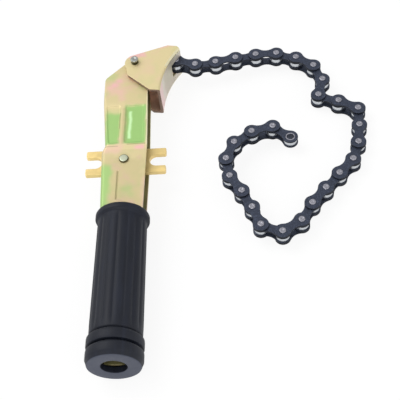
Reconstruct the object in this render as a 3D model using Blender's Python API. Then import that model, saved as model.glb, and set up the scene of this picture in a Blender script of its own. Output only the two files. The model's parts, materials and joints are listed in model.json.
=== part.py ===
"""Chain oil filter wrench, lying on its side on the floor.

A handle folded from one steel sheet carries a rubber grip, a double-ended hook plate
and, on a pivot rivet at its head, a folded jaw and thirty links of roller chain.

Two flat frames hold the parts. The wrench frame has its origin on the pivot rivet, Z
along the rivet and Z = 0 midway between the cheeks. The handle frame is the same,
turned so that its Y axis runs along the handle. The whole wrench leans a little,
because the grip is thicker than the chain.
"""

import math

import bmesh
import bpy
from mathutils import Matrix, Vector

MM = 0.001

# Folded sheet of the handle and the jaw
SHEET = 1.8 * MM
BEND_RADIUS = 2.0 * MM
JAW_CLEARANCE = 1.0 * MM
SEAT = 0.2 * MM

# Handle outline, in the handle frame with the pivot at the origin
HANDLE_TURN = math.radians(7.5)
AXIS_X = -3.7 * MM
LUG_RADIUS = 5.8 * MM
CROWN_SLOPE = math.radians(43)
HEAD_LEFT = -18.2 * MM
HEAD_LOW_Y = -30.0 * MM
WEB_TOP_Y = -14.0 * MM
WAIST_LEFT = -15.6 * MM
WAIST_Y = -62.0 * MM
FLARE_LEFT = -17.3 * MM
FLARE_Y = -66.5 * MM
FOOT_LEFT = -15.7 * MM
CHEEK_TOP_RIGHT = 8.2 * MM
CHEEK_TOP_Y = -20.0 * MM
CHEEK_RIGHT = 9.2 * MM
CHEEK_RIGHT_Y = -64.0 * MM
FOOT_RIGHT = 8.4 * MM
CROWN_CORNER_RADIUS = 4.0 * MM

# Pressed panels and crease in both cheeks
PANEL_DEPTH = 0.5 * MM
PANEL_TOP_Y = -32.0 * MM
PANEL_LOW_Y = -61.0 * MM
PANEL_EDGE = 1.7 * MM
RIB_CENTRE_X = -6.0 * MM
RIB_WIDTH = 2.6 * MM
PANEL_CORNER = 1.6 * MM
CREASE_X = -6.8 * MM
CREASE_WIDTH = 1.0 * MM
CREASE_DEPTH = 0.35 * MM
CREASE_TOP_Y = -81.0 * MM
CREASE_LOW_Y = -101.5 * MM

# Grip: a rubber sleeve on the handle's tang
GRIP_TOP_Y = -107.8 * MM
GRIP_LENGTH = 92.2 * MM
COLLAR_RADIUS = 15.2 * MM
COLLAR_LENGTH = 4.0 * MM
GRIP_TOP_RADIUS = 13.6 * MM
GRIP_LOW_RADIUS = 14.1 * MM
GRIP_END_RADIUS = 14.2 * MM
GROOVE_RADIUS = 13.2 * MM
RING_LENGTH = 5.8 * MM
RING_GAP = 1.3 * MM
END_TAPER = 2.2 * MM
RUBBER_ROUND = 0.7 * MM
BORE_RADIUS = 11.5 * MM
END_WALL = 3.5 * MM
END_HOLE_RADIUS = 6.9 * MM
FLUTES = 16
FLUTE_DEPTH = 0.45 * MM
FLUTE_TOP = 7.0 * MM
FLUTE_LOW = 2.2 * MM
FLUTE_MARGIN = 1.0 * MM
FLUTE_RUN_OUT = 3.5 * MM
BODY_STEPS = 6
TANG_WIDTH = 15.4 * MM
TANG_END_GAP = 1.0 * MM

# Hook plate: a two-pronged fork at each end
PLATE_THICKNESS = 3.0 * MM
PLATE_LENGTH = 47.0 * MM
PLATE_Y = -69.7 * MM
PRONG_WIDTH = 4.6 * MM
NOTCH_DEPTH = 9.6 * MM
PRONG_CORNER = 0.8 * MM
HOOK_RIVET_Y = -73.0 * MM
HOOK_RIVET_RADIUS = 2.0 * MM
HOOK_HEAD_RADIUS = 2.8 * MM
HOOK_HEAD_HEIGHT = 0.9 * MM
SPACER_RADIUS = 4.0 * MM
RIVET_PLAY = 0.25 * MM

# Shape of a rivet's head, as shares of its height and radius
HEAD_RIM_HEIGHT = 0.45
HEAD_SHOULDER_HEIGHT = 0.85
HEAD_SHOULDER_RADIUS = 0.8
HEAD_TOP_RADIUS = 0.45

# Jaw outline, in the wrench frame with the pivot at the origin
JAW_LUG_RADIUS = 6.3 * MM
JAW_CROWN_X = 21.5 * MM
JAW_CROWN_Y = 10.3 * MM
JAW_TIP_X = 27.2 * MM
JAW_TIP_Y = 8.4 * MM
JAW_TIP_RADIUS = 1.6 * MM
FACE_TOP_X = 28.6 * MM
FACE_TOP_Y = 5.6 * MM
FACE_RADIUS = 56.0 * MM
FACE_LENGTH = 35.7 * MM
FACE_START = math.radians(135.0)
JAW_LIP_X = 6.7 * MM
JAW_LIP_Y = -24.0 * MM
JAW_HEEL_X = -5.4 * MM
JAW_HEEL_Y = -9.4 * MM
JAW_FOLD_RADIUS = 1.2 * MM
SLOT_LENGTH = 10.4 * MM
SLOT_CLEARANCE = 0.45 * MM

# Pivot rivet
PIVOT_RADIUS = 1.8 * MM
PIVOT_HEAD_RADIUS = 2.4 * MM
PIVOT_HEAD_HEIGHT = 3.2 * MM
PIVOT_PLAY = 0.25 * MM
WASHER_RADIUS = 4.6 * MM
WASHER_THICKNESS = 2.0 * MM

# Roller chain, half-inch pitch
PITCH = 12.7 * MM
PLATE_RADIUS = 4.25 * MM
PLATE_WAIST = 2.6 * MM
INNER_GAP = 3.3 * MM
LINK_SHEET = 0.95 * MM
LINK_CLEARANCE = 0.25 * MM
ROLLER_RADIUS = 3.87 * MM
PIN_RADIUS = 1.8 * MM
PIN_LENGTH = 8.9 * MM
BUSH_BORE = 2.15 * MM
END_STEPS = 6
WAIST_STEPS = 3

# Heading of the first link, then the bend at each next pin, in degrees
BENDS = (
    8, 0, -35, 24, 7, -4, -8, -20, -16, -32,
    -36, 79, -6, -60, -6, -11, -23, 1, 1, 9,
    -27, -56, -46, 5, 6, -23, -31, -32, -22, -52,
)

# The channel is as deep as the chain, its washers and the sheet need
OUTER_PLATE_Z = INNER_GAP / 2 + LINK_SHEET + LINK_CLEARANCE
WASHER_LOW = OUTER_PLATE_Z + LINK_SHEET + SEAT
INSIDE_HALF = WASHER_LOW + WASHER_THICKNESS + SEAT
HANDLE_HALF = INSIDE_HALF + SHEET
HANDLE_DEPTH = 2 * HANDLE_HALF
JAW_INSIDE_HALF = HANDLE_HALF + JAW_CLEARANCE
JAW_HALF = JAW_INSIDE_HALF + SHEET
GRIP_END_Y = GRIP_TOP_Y - GRIP_LENGTH
SHOULDER_Y = GRIP_TOP_Y + SEAT
TANG_END_Y = GRIP_END_Y + END_WALL + TANG_END_GAP
NOTCH_WIDTH = PITCH - PRONG_WIDTH
PLATE_HEIGHT = PITCH + PRONG_WIDTH
SLOT_HALF = PIN_LENGTH / 2 + SLOT_CLEARANCE
FACE_TOP = Vector((FACE_TOP_X, FACE_TOP_Y))
FACE_CENTRE = FACE_TOP - FACE_RADIUS * Vector((math.cos(FACE_START), math.sin(FACE_START)))
FACE_END = FACE_START + FACE_LENGTH / FACE_RADIUS
SLOT_ROOT = FACE_START + SLOT_LENGTH / FACE_RADIUS


def make_material(name, colour, roughness, metallic):
    """A Principled BSDF material of one colour."""
    material = bpy.data.materials.new(name)
    material.use_nodes = True
    shader = material.node_tree.nodes["Principled BSDF"]
    shader.inputs["Base Color"].default_value = (*colour, 1)
    shader.inputs["Roughness"].default_value = roughness
    shader.inputs["Metallic"].default_value = metallic
    return material


def make_empty(name, parent=None):
    """A guide that carries a frame."""
    empty = bpy.data.objects.new(name, None)
    bpy.context.collection.objects.link(empty)
    empty.parent = parent
    return empty


def make_object(name, mesh):
    """A new object, standing in the frame that its mesh is drawn in."""
    obj = bpy.data.objects.new(name, mesh)
    bpy.context.collection.objects.link(obj)
    return obj


def mesh_from(name, bm):
    """Closes a bmesh into a mesh with its faces pointing out."""
    bmesh.ops.recalc_face_normals(bm, faces=bm.faces)
    mesh = bpy.data.meshes.new(name)
    bm.to_mesh(mesh)
    bm.free()
    return mesh


def arc(centre, radius, start, end, steps):
    """Points along an arc, both ends included."""
    return [
        Vector(centre) + radius * Vector((math.cos(angle), math.sin(angle)))
        for angle in (start + (end - start) * step / steps for step in range(steps + 1))
    ]


def rounded(corners, steps=3):
    """An outline from (point, radius) pairs, with each corner rounded by its radius."""
    outline = []
    for index, (corner, radius) in enumerate(corners):
        if not radius:
            outline.append(Vector(corner))
            continue
        corner = Vector(corner)
        back = (Vector(corners[index - 1][0]) - corner).normalized()
        ahead = (Vector(corners[(index + 1) % len(corners)][0]) - corner).normalized()
        half = back.angle(ahead) / 2
        centre = corner + (back + ahead).normalized() * radius / math.sin(half)
        first = corner + back * radius / math.tan(half) - centre
        last = corner + ahead * radius / math.tan(half) - centre
        turn = first.angle_signed(last)
        for step in range(steps + 1):
            outline.append(centre + Matrix.Rotation(-turn * step / steps, 2) @ first)
    return outline


def prism(name, outline, low, high, fold=None, fold_radius=0.0):
    """A plate with a flat outline. The rim edges that fold() picks are rounded."""
    bm = bmesh.new()
    rim = [bm.verts.new((point.x, point.y, low)) for point in outline]
    base = bm.faces.new(rim)
    raised = bmesh.ops.extrude_face_region(bm, geom=[base])["geom"]
    bmesh.ops.translate(
        bm, vec=(0, 0, high - low), verts=[v for v in raised if isinstance(v, bmesh.types.BMVert)]
    )
    if fold:
        edges = [
            edge for edge in bm.edges
            if abs(edge.verts[0].co.z - edge.verts[1].co.z) < SEAT
            and fold(edge.verts[0].co) and fold(edge.verts[1].co)
        ]
        bmesh.ops.bevel(
            bm, geom=edges, offset=fold_radius, segments=3, profile=0.5, affect="EDGES"
        )
    return make_object(name, mesh_from(name, bm))


def cylinder(name, radius, low, high, centre=(0, 0), segments=24):
    """A round bar along Z."""
    bm = bmesh.new()
    place = Matrix.Translation((centre[0], centre[1], (low + high) / 2))
    bmesh.ops.create_cone(
        bm, cap_ends=True, segments=segments, radius1=radius, radius2=radius,
        depth=high - low, matrix=place,
    )
    return make_object(name, mesh_from(name, bm))


def turned(name, profile, segments, radius_at=None):
    """A closed ring of (radius, height) points turned about Z."""
    bm = bmesh.new()
    rings = []
    for radius, height in profile:
        ring = []
        for step in range(segments):
            angle = 2 * math.pi * step / segments
            reach = radius_at(radius, height, angle) if radius_at else radius
            ring.append(bm.verts.new((reach * math.cos(angle), reach * math.sin(angle), height)))
        rings.append(ring)
    for index, ring in enumerate(rings):
        after = rings[(index + 1) % len(rings)]
        for step in range(segments):
            other = (step + 1) % segments
            bm.faces.new((ring[step], ring[other], after[other], after[step]))
    return mesh_from(name, bm)


def rivet(name, radius, length, head_radius, head_height, segments=16):
    """A solid rivet along Z with a low domed head at each end."""
    half = length / 2
    side = [
        (radius, 0),
        (radius, half),
        (head_radius, half),
        (head_radius, half + head_height * HEAD_RIM_HEIGHT),
        (head_radius * HEAD_SHOULDER_RADIUS, half + head_height * HEAD_SHOULDER_HEIGHT),
        (head_radius * HEAD_TOP_RADIUS, half + head_height),
    ]
    profile = [(r, -z) for r, z in reversed(side[1:])] + side[1:]
    bm = bmesh.new()
    angles = [2 * math.pi * step / segments for step in range(segments)]
    rings = [
        [bm.verts.new((reach * math.cos(angle), reach * math.sin(angle), height)) for angle in angles]
        for reach, height in profile
    ]
    for ring, after in zip(rings, rings[1:]):
        for step in range(segments):
            other = (step + 1) % segments
            bm.faces.new((ring[step], ring[other], after[other], after[step]))
    bm.faces.new(rings[0])
    bm.faces.new(rings[-1])
    return make_object(name, mesh_from(name, bm))


def combine(obj, tools, operation="DIFFERENCE"):
    """Cuts the tools out of a solid, or joins them to it, and removes the tools."""
    for tool in tools:
        boolean = obj.modifiers.new(tool.name, "BOOLEAN")
        boolean.operation = operation
        boolean.solver = "EXACT"
        boolean.object = tool
    graph = bpy.context.evaluated_depsgraph_get()
    mesh = bpy.data.meshes.new_from_object(obj.evaluated_get(graph))
    obj.modifiers.clear()
    obj.data = mesh
    for tool in tools:
        bpy.data.objects.remove(tool)
    return obj


def finish(obj, material, parent, smooth_below=math.radians(40)):
    """Gives a solid its material and frame, and shades its curves smooth."""
    obj.data.name = obj.name
    obj.data.materials.clear()
    obj.data.materials.append(material)
    obj.data.shade_smooth()
    obj.data.set_sharp_from_angle(angle=smooth_below)
    obj.parent = parent
    return obj


def handle_left_edge(inset):
    """The folded left edge from the foot up to the head, moved right by the inset."""
    return [
        Vector((FOOT_LEFT + inset, SHOULDER_Y)),
        Vector((FLARE_LEFT + inset, FLARE_Y)),
        Vector((WAIST_LEFT + inset, WAIST_Y)),
        Vector((HEAD_LEFT + inset, HEAD_LOW_Y)),
    ]


def handle_outline():
    """The cheek's outline, from the tang's end up the right edge and down the left."""
    tang_left = AXIS_X - TANG_WIDTH / 2
    tang_right = AXIS_X + TANG_WIDTH / 2
    crown_angle = math.pi / 2 + CROWN_SLOPE
    crown = LUG_RADIUS * Vector((math.cos(crown_angle), math.sin(crown_angle)))
    drop = (crown.x - HEAD_LEFT) * math.tan(CROWN_SLOPE)
    corner = rounded([
        (crown, 0),
        (Vector((HEAD_LEFT, crown.y - drop)), CROWN_CORNER_RADIUS),
        (Vector((HEAD_LEFT, HEAD_LOW_Y)), 0),
    ])
    lug_start = math.radians(-6)
    return [
        Vector((tang_right, TANG_END_Y)),
        Vector((tang_right, SHOULDER_Y)),
        Vector((FOOT_RIGHT, SHOULDER_Y)),
        Vector((CHEEK_RIGHT, CHEEK_RIGHT_Y)),
        Vector((CHEEK_TOP_RIGHT, CHEEK_TOP_Y)),
        *arc((0, 0), LUG_RADIUS, lug_start, crown_angle, 9),
        *corner[1:-1],
        *reversed(handle_left_edge(0)),
        Vector((tang_left, SHOULDER_Y)),
        Vector((tang_left, TANG_END_Y)),
    ]


def handle_inside():
    """The space between the cheeks, open to the right and over the crown."""
    clear = 3 * HANDLE_DEPTH
    tang_inside = AXIS_X - TANG_WIDTH / 2 + SHEET
    edge = handle_left_edge(SHEET)
    edge[0].y += SHEET
    return [
        Vector((tang_inside, TANG_END_Y - clear)),
        Vector((clear, TANG_END_Y - clear)),
        Vector((clear, clear)),
        Vector((-clear, clear)),
        Vector((-clear, WEB_TOP_Y)),
        Vector((HEAD_LEFT + SHEET, WEB_TOP_Y)),
        *reversed(edge),
        Vector((tang_inside, SHOULDER_Y + SHEET)),
    ]


def panel_outlines():
    """The two pressed panels of a cheek and the crease under them."""
    rib_left = RIB_CENTRE_X - RIB_WIDTH / 2
    rib_right = RIB_CENTRE_X + RIB_WIDTH / 2
    left = rounded([
        ((HEAD_LEFT + PANEL_EDGE, PANEL_TOP_Y), PANEL_CORNER),
        ((WAIST_LEFT + PANEL_EDGE, PANEL_LOW_Y), PANEL_CORNER),
        ((rib_left, PANEL_LOW_Y), PANEL_CORNER),
        ((rib_left, PANEL_TOP_Y), PANEL_CORNER),
    ], 2)
    right = rounded([
        ((rib_right, PANEL_TOP_Y), PANEL_CORNER),
        ((rib_right, PANEL_LOW_Y), PANEL_CORNER),
        ((CHEEK_RIGHT - PANEL_EDGE, PANEL_LOW_Y), PANEL_CORNER),
        ((CHEEK_TOP_RIGHT - PANEL_EDGE, PANEL_TOP_Y), PANEL_CORNER),
    ], 2)
    half = CREASE_WIDTH / 2
    crease = rounded([
        ((CREASE_X - half, CREASE_TOP_Y), 0),
        ((CREASE_X - half, CREASE_LOW_Y), 0),
        ((CREASE_X + half, CREASE_LOW_Y), 0),
        ((CREASE_X + half, CREASE_TOP_Y), 0),
    ])
    return [(left, PANEL_DEPTH), (right, PANEL_DEPTH), (crease, CREASE_DEPTH)]


def make_handle(material, frame):
    """The folded channel with its tang, pressed panels, web slot and rivet holes."""
    bend_right = WAIST_LEFT + SEAT

    def on_fold(point):
        tang_edge = AXIS_X - TANG_WIDTH / 2 + SEAT
        on_tang = point.x < tang_edge and point.y < SHOULDER_Y - SEAT
        return point.x < bend_right and SHOULDER_Y - SEAT < point.y < HEAD_LOW_Y / 2 or on_tang

    channel = prism("handle_channel", handle_outline(), -HANDLE_HALF, HANDLE_HALF, on_fold, BEND_RADIUS)
    tools = [prism("inside", handle_inside(), -INSIDE_HALF, INSIDE_HALF)]
    for index, (outline, depth) in enumerate(panel_outlines()):
        tools.append(prism(f"upper_{index}", outline, HANDLE_HALF - depth, HANDLE_DEPTH))
        tools.append(prism(f"lower_{index}", outline, -HANDLE_DEPTH, depth - HANDLE_HALF))
    slot_half = PLATE_HEIGHT / 2 + SEAT
    slot = [
        Vector((2 * FLARE_LEFT, PLATE_Y - slot_half)),
        Vector((FLARE_LEFT / 2, PLATE_Y - slot_half)),
        Vector((FLARE_LEFT / 2, PLATE_Y + slot_half)),
        Vector((2 * FLARE_LEFT, PLATE_Y + slot_half)),
    ]
    slot_z = PLATE_THICKNESS / 2 + SEAT
    tools.append(prism("web_slot", slot, -slot_z, slot_z))
    for name, radius, centre in (
        ("pivot_hole", PIVOT_RADIUS + PIVOT_PLAY, (0, 0)),
        ("hook_hole", HOOK_RIVET_RADIUS + RIVET_PLAY, (AXIS_X, HOOK_RIVET_Y)),
    ):
        tools.append(cylinder(name, radius, -HANDLE_DEPTH, HANDLE_DEPTH, centre, 16))
    combine(channel, tools)
    return finish(channel, material, frame)


def grip_profile():
    """(radius, distance below the collar's rim) round the sleeve's wall."""
    ring_low = GRIP_LENGTH - END_TAPER
    ring_top = ring_low - RING_LENGTH
    upper_low = ring_top - RING_GAP
    upper_top = upper_low - RING_LENGTH
    body_low = upper_top - RING_GAP
    soft = RUBBER_ROUND
    outside = [
        (COLLAR_RADIUS - soft, 0),
        (COLLAR_RADIUS, soft),
        (COLLAR_RADIUS, COLLAR_LENGTH - soft),
        (COLLAR_RADIUS - soft, COLLAR_LENGTH),
        (GRIP_TOP_RADIUS, COLLAR_LENGTH + soft),
    ]
    flute_low = body_low - FLUTE_LOW
    full_top = FLUTE_TOP + FLUTE_RUN_OUT
    full_low = flute_low - FLUTE_RUN_OUT
    outside.append((GRIP_TOP_RADIUS, FLUTE_TOP))
    for step in range(BODY_STEPS + 1):
        share = step / BODY_STEPS
        radius = GRIP_TOP_RADIUS + (GRIP_LOW_RADIUS - GRIP_TOP_RADIUS) * share
        outside.append((radius, full_top + (full_low - full_top) * share))
    outside.append((GRIP_LOW_RADIUS, flute_low))
    outside.append((GRIP_LOW_RADIUS, body_low - soft))
    for top, low in ((upper_top, upper_low), (ring_top, ring_low)):
        outside.append((GROOVE_RADIUS, top - RING_GAP / 2))
        outside.append((COLLAR_RADIUS - soft / 2, top + soft / 2))
        outside.append((COLLAR_RADIUS, top + 2 * soft))
        outside.append((COLLAR_RADIUS, low - soft))
    outside.append((GRIP_END_RADIUS, GRIP_LENGTH - soft))
    outside.append((GRIP_END_RADIUS - soft, GRIP_LENGTH))
    inside = [
        (END_HOLE_RADIUS, GRIP_LENGTH),
        (END_HOLE_RADIUS, GRIP_LENGTH - END_WALL),
        (BORE_RADIUS, GRIP_LENGTH - END_WALL),
        (BORE_RADIUS, 0),
    ]
    return outside + inside


def make_grip(material, frame):
    """The rubber sleeve, with shallow flutes along its body."""
    flute_low = GRIP_LENGTH - END_TAPER - 2 * (RING_LENGTH + RING_GAP) - FLUTE_LOW

    def fluted(radius, height, angle):
        on_flutes = FLUTE_TOP + FLUTE_MARGIN < height < flute_low - FLUTE_MARGIN
        wave = 0.5 - 0.5 * math.cos(FLUTES * angle)
        return radius - FLUTE_DEPTH * wave if on_flutes and radius > BORE_RADIUS else radius

    mesh = turned("grip", grip_profile(), 2 * FLUTES, fluted)
    mesh.transform(Matrix.Rotation(math.pi / 2, 4, "X"))
    mesh.transform(Matrix.Translation((AXIS_X, GRIP_TOP_Y, 0)))
    return finish(make_object("grip", mesh), material, frame)


def fork_end(side):
    """One end of the hook plate: two prongs with a round-bottomed notch between them."""
    tip = side * PLATE_LENGTH / 2
    half = PLATE_HEIGHT / 2
    notch = NOTCH_WIDTH / 2
    root = tip - side * (NOTCH_DEPTH - notch)
    start = -side * math.pi / 2
    prong_low = rounded([((0, -side * half), 0), ((tip, -side * half), PRONG_CORNER),
                         ((tip, -side * notch), PRONG_CORNER), ((root, -side * notch), 0)], 2)
    prong_high = rounded([((root, side * notch), 0), ((tip, side * notch), PRONG_CORNER),
                          ((tip, side * half), PRONG_CORNER), ((0, side * half), 0)], 2)
    bottom = arc((root, 0), notch, start, start - math.pi, 8)
    return prong_low[1:-1] + bottom + prong_high[1:-1]


def make_hook_plate(material, frame):
    """The plate whose forks catch the chain between its rollers."""
    place = Vector((AXIS_X, PLATE_Y))
    outline = [place + point for point in fork_end(1) + fork_end(-1)]
    half = PLATE_THICKNESS / 2
    plate = prism("hook_plate", outline, -half, half)
    hole = cylinder("hole", HOOK_RIVET_RADIUS + RIVET_PLAY, -2 * half, 2 * half, (AXIS_X, HOOK_RIVET_Y), 16)
    return finish(combine(plate, [hole]), material, frame)


def tube(name, radius, bore, low, high, centre, segments=20):
    """A sleeve or washer along Z."""
    mesh = turned(name, [(radius, low), (radius, high), (bore, high), (bore, low)], segments)
    mesh.transform(Matrix.Translation((centre[0], centre[1], 0)))
    return make_object(name, mesh)


def make_hook_fixings(material, frame):
    """The rivet through the hook plate, and the spacers that centre the plate."""
    centre = (AXIS_X, HOOK_RIVET_Y)
    bolt = rivet(
        "hook_rivet", HOOK_RIVET_RADIUS, HANDLE_DEPTH + 2 * SEAT, HOOK_HEAD_RADIUS, HOOK_HEAD_HEIGHT
    )
    bolt.data.transform(Matrix.Translation((*centre, 0)))
    finish(bolt, material, frame)
    low = PLATE_THICKNESS / 2 + SEAT
    high = INSIDE_HALF - SEAT
    bore = HOOK_RIVET_RADIUS + RIVET_PLAY
    finish(tube("hook_spacer_upper", SPACER_RADIUS, bore, low, high, centre), material, frame)
    finish(tube("hook_spacer_lower", SPACER_RADIUS, bore, -high, -low, centre), material, frame)


def jaw_outline():
    """The cheek's outline: round the pivot, over the crown and down the curved face."""
    heel_angle = math.radians(200)
    crown_angle = math.radians(97)
    tip = rounded([
        (Vector((JAW_CROWN_X, JAW_CROWN_Y)), 0),
        (Vector((JAW_TIP_X, JAW_TIP_Y)), JAW_TIP_RADIUS),
        (FACE_TOP, 0),
    ])
    return [
        *reversed(arc((0, 0), JAW_LUG_RADIUS, crown_angle, heel_angle, 6)),
        *tip[:-1],
        *arc(FACE_CENTRE, FACE_RADIUS, FACE_START, FACE_END, 9),
        Vector((JAW_LIP_X, JAW_LIP_Y)),
        Vector((JAW_HEEL_X, JAW_HEEL_Y)),
    ]


def jaw_inside():
    """The space between the cheeks, open on every side but the curved face."""
    clear = 2 * FACE_RADIUS
    radius = FACE_RADIUS + SHEET
    margin = math.radians(12)
    face = arc(FACE_CENTRE, radius, FACE_START - margin, FACE_END + margin, 12)
    return [
        *face,
        Vector((face[-1].x, -clear)),
        Vector((-clear, -clear)),
        Vector((-clear, clear)),
        Vector((face[0].x, clear)),
    ]


def make_jaw(material, frame):
    """The folded jaw, whose curved face bears on the filter beside the chain."""
    def on_fold(point):
        offset = Vector((point.x, point.y)) - FACE_CENTRE
        return abs(offset.length - FACE_RADIUS) < SEAT

    jaw = prism("jaw", jaw_outline(), -JAW_HALF, JAW_HALF, on_fold, JAW_FOLD_RADIUS)
    inner = FACE_RADIUS - SHEET
    outer = FACE_RADIUS + 3 * SHEET
    past_tip = FACE_START - math.radians(8)
    slot = arc(FACE_CENTRE, outer, past_tip, SLOT_ROOT, 4) + arc(FACE_CENTRE, inner, SLOT_ROOT, past_tip, 4)
    tools = [
        prism("inside", jaw_inside(), -JAW_INSIDE_HALF, JAW_INSIDE_HALF),
        prism("chain_slot", slot, -SLOT_HALF, SLOT_HALF),
        cylinder("hole", PIVOT_RADIUS + PIVOT_PLAY, -2 * JAW_HALF, 2 * JAW_HALF, (0, 0), 16),
    ]
    return finish(combine(jaw, tools), material, frame)


def make_pivot(material, frame):
    """The pivot rivet, the washers that centre the chain and the bush in its first link."""
    finish(rivet(
        "pivot_rivet", PIVOT_RADIUS, 2 * (JAW_HALF + SEAT), PIVOT_HEAD_RADIUS, PIVOT_HEAD_HEIGHT
    ), material, frame)
    bore = PIVOT_RADIUS + PIVOT_PLAY
    low = WASHER_LOW
    high = WASHER_LOW + WASHER_THICKNESS
    finish(tube("pivot_washer_upper", WASHER_RADIUS, bore, low, high, (0, 0)), material, frame)
    finish(tube("pivot_washer_lower", WASHER_RADIUS, bore, -high, -low, (0, 0)), material, frame)
    half = OUTER_PLATE_Z - SEAT
    finish(tube("pivot_bush", ROLLER_RADIUS, bore, -half, half, (0, 0)), material, frame)


def link_outline():
    """A waisted link plate from one pin at the origin to the next along X."""
    half = PITCH / 2
    side_radius = (half ** 2 + PLATE_WAIST ** 2 - PLATE_RADIUS ** 2) / (2 * (PLATE_RADIUS - PLATE_WAIST))
    rise = PLATE_WAIST + side_radius
    lean = math.atan2(rise, half)
    reach = math.pi - lean
    far_end = arc((PITCH, 0), PLATE_RADIUS, -reach, reach, END_STEPS)
    near_end = arc((0, 0), PLATE_RADIUS, lean, 2 * math.pi - lean, END_STEPS)
    upper = arc((half, rise), side_radius, -lean, lean - math.pi, WAIST_STEPS)
    lower = arc((half, -rise), side_radius, math.pi - lean, lean, WAIST_STEPS)
    return far_end + upper[1:-1] + near_end + lower[1:-1]


def plate_pair(name, inner_face):
    """The two plates of a link, the upper one and a tool for the lower one."""
    outline = link_outline()
    upper = prism(name, outline, inner_face, inner_face + LINK_SHEET)
    lower = prism(name + "_lower", outline, -inner_face - LINK_SHEET, -inner_face)
    return upper, lower


def pin_centre(index):
    """A link's near pin is 0 and its far pin is 1."""
    return (index * PITCH, 0)


def outer_link_mesh(name, pins):
    """Two outer plates on the given pins. An end with no pin is left as a hole."""
    plates, lower = plate_pair(name, OUTER_PLATE_Z)
    half = PIN_LENGTH / 2
    joined = [lower] + [cylinder(f"pin_{i}", PIN_RADIUS, -half, half, pin_centre(i), 8) for i in pins]
    combine(plates, joined, "UNION")
    holes = [
        cylinder(f"hole_{i}", PIVOT_RADIUS + PIVOT_PLAY, -half, half, pin_centre(i), 12)
        for i in (0, 1) if i not in pins
    ]
    if holes:
        combine(plates, holes)
    mesh = plates.data
    bpy.data.objects.remove(plates)
    return mesh


def inner_link_mesh(name):
    """Two inner plates joined by a bushed roller at each end, bored for the pins."""
    inner_face = INNER_GAP / 2
    plates, lower = plate_pair(name, inner_face)
    seat = inner_face + LINK_SHEET / 2
    rollers = [cylinder(f"roller_{i}", ROLLER_RADIUS, -seat, seat, pin_centre(i), 12) for i in (0, 1)]
    combine(plates, [lower] + rollers, "UNION")
    clear = inner_face + 2 * LINK_SHEET
    combine(plates, [cylinder(f"bore_{i}", BUSH_BORE, -clear, clear, pin_centre(i), 8) for i in (0, 1)])
    mesh = plates.data
    bpy.data.objects.remove(plates)
    return mesh


def make_chain(plate_steel, frame):
    """Thirty links end to end, outer and inner in turn, each carried by the one before."""
    first = outer_link_mesh("first_link", (1,))
    outer = outer_link_mesh("outer_link", (0, 1))
    inner = inner_link_mesh("inner_link")
    carrier = frame
    for index, bend in enumerate(BENDS):
        mesh = inner if index % 2 else outer
        link = make_object(f"chain_link_{index + 1:02d}", first if index == 0 else mesh)
        link.data.materials.clear()
        link.data.materials.append(plate_steel)
        link.data.shade_smooth()
        link.data.set_sharp_from_angle(angle=math.radians(40))
        link.parent = carrier
        link.location.x = PITCH if index else 0
        link.rotation_euler.z = math.radians(bend)
        carrier = link


def chain_pins():
    """The pins' places in the wrench frame, from the pivot to the open end."""
    pins = [Vector((0, 0))]
    heading = 0
    for bend in BENDS:
        heading += math.radians(bend)
        pins.append(pins[-1] + PITCH * Vector((math.cos(heading), math.sin(heading))))
    return pins


def lean_angle():
    """The lean about the handle's axis that sets both the grip and the chain down."""
    across = Vector((math.cos(HANDLE_TURN), -math.sin(HANDLE_TURN)))
    reach = max(pin.dot(across) for pin in chain_pins()) + PIN_RADIUS - AXIS_X
    drop = PIN_LENGTH / 2
    return math.asin(COLLAR_RADIUS / math.hypot(drop, reach)) - math.atan2(drop, reach)


def stand_on_floor(root):
    """Moves everything so that the middle of its box's base is the origin."""
    bpy.context.view_layer.update()
    solids = [obj for obj in bpy.data.objects if obj.type == "MESH"]
    points = [solid.matrix_world @ vert.co for solid in solids for vert in solid.data.vertices]
    low = [min(point[axis] for point in points) for axis in range(3)]
    high = [max(point[axis] for point in points) for axis in range(3)]
    root.location = (-(low[0] + high[0]) / 2, -(low[1] + high[1]) / 2, -low[2])
    bpy.context.view_layer.update()


def main():
    for obj in list(bpy.data.objects):
        bpy.data.objects.remove(obj)
    chromate = make_material("chromated_steel", (0.72, 0.62, 0.36), 0.35, 0.9)
    gold = make_material("yellow_steel", (0.78, 0.58, 0.15), 0.35, 0.9)
    rubber = make_material("black_rubber", (0.03, 0.032, 0.04), 0.55, 0.0)
    chain_steel = make_material("blackened_steel", (0.03, 0.03, 0.045), 0.4, 0.8)
    bright = make_material("bright_steel", (0.55, 0.56, 0.56), 0.3, 1.0)

    wrench = make_empty("wrench_frame")
    handle = make_empty("handle_frame", wrench)
    handle.rotation_euler.z = -HANDLE_TURN
    make_handle(chromate, handle)
    make_grip(rubber, handle)
    make_hook_plate(gold, handle)
    make_hook_fixings(bright, handle)
    make_jaw(chromate, wrench)
    make_pivot(bright, wrench)
    make_chain(chain_steel, wrench)

    handle_axis = Vector((math.sin(HANDLE_TURN), math.cos(HANDLE_TURN), 0))
    wrench.rotation_mode = "QUATERNION"
    wrench.rotation_quaternion = Matrix.Rotation(lean_angle(), 3, handle_axis).to_quaternion()
    stand_on_floor(wrench)


main()
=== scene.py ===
"""Finished look of a chain oil filter wrench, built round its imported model."""

import json
import math

import bmesh
import bpy
from mathutils import Matrix, Vector


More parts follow.
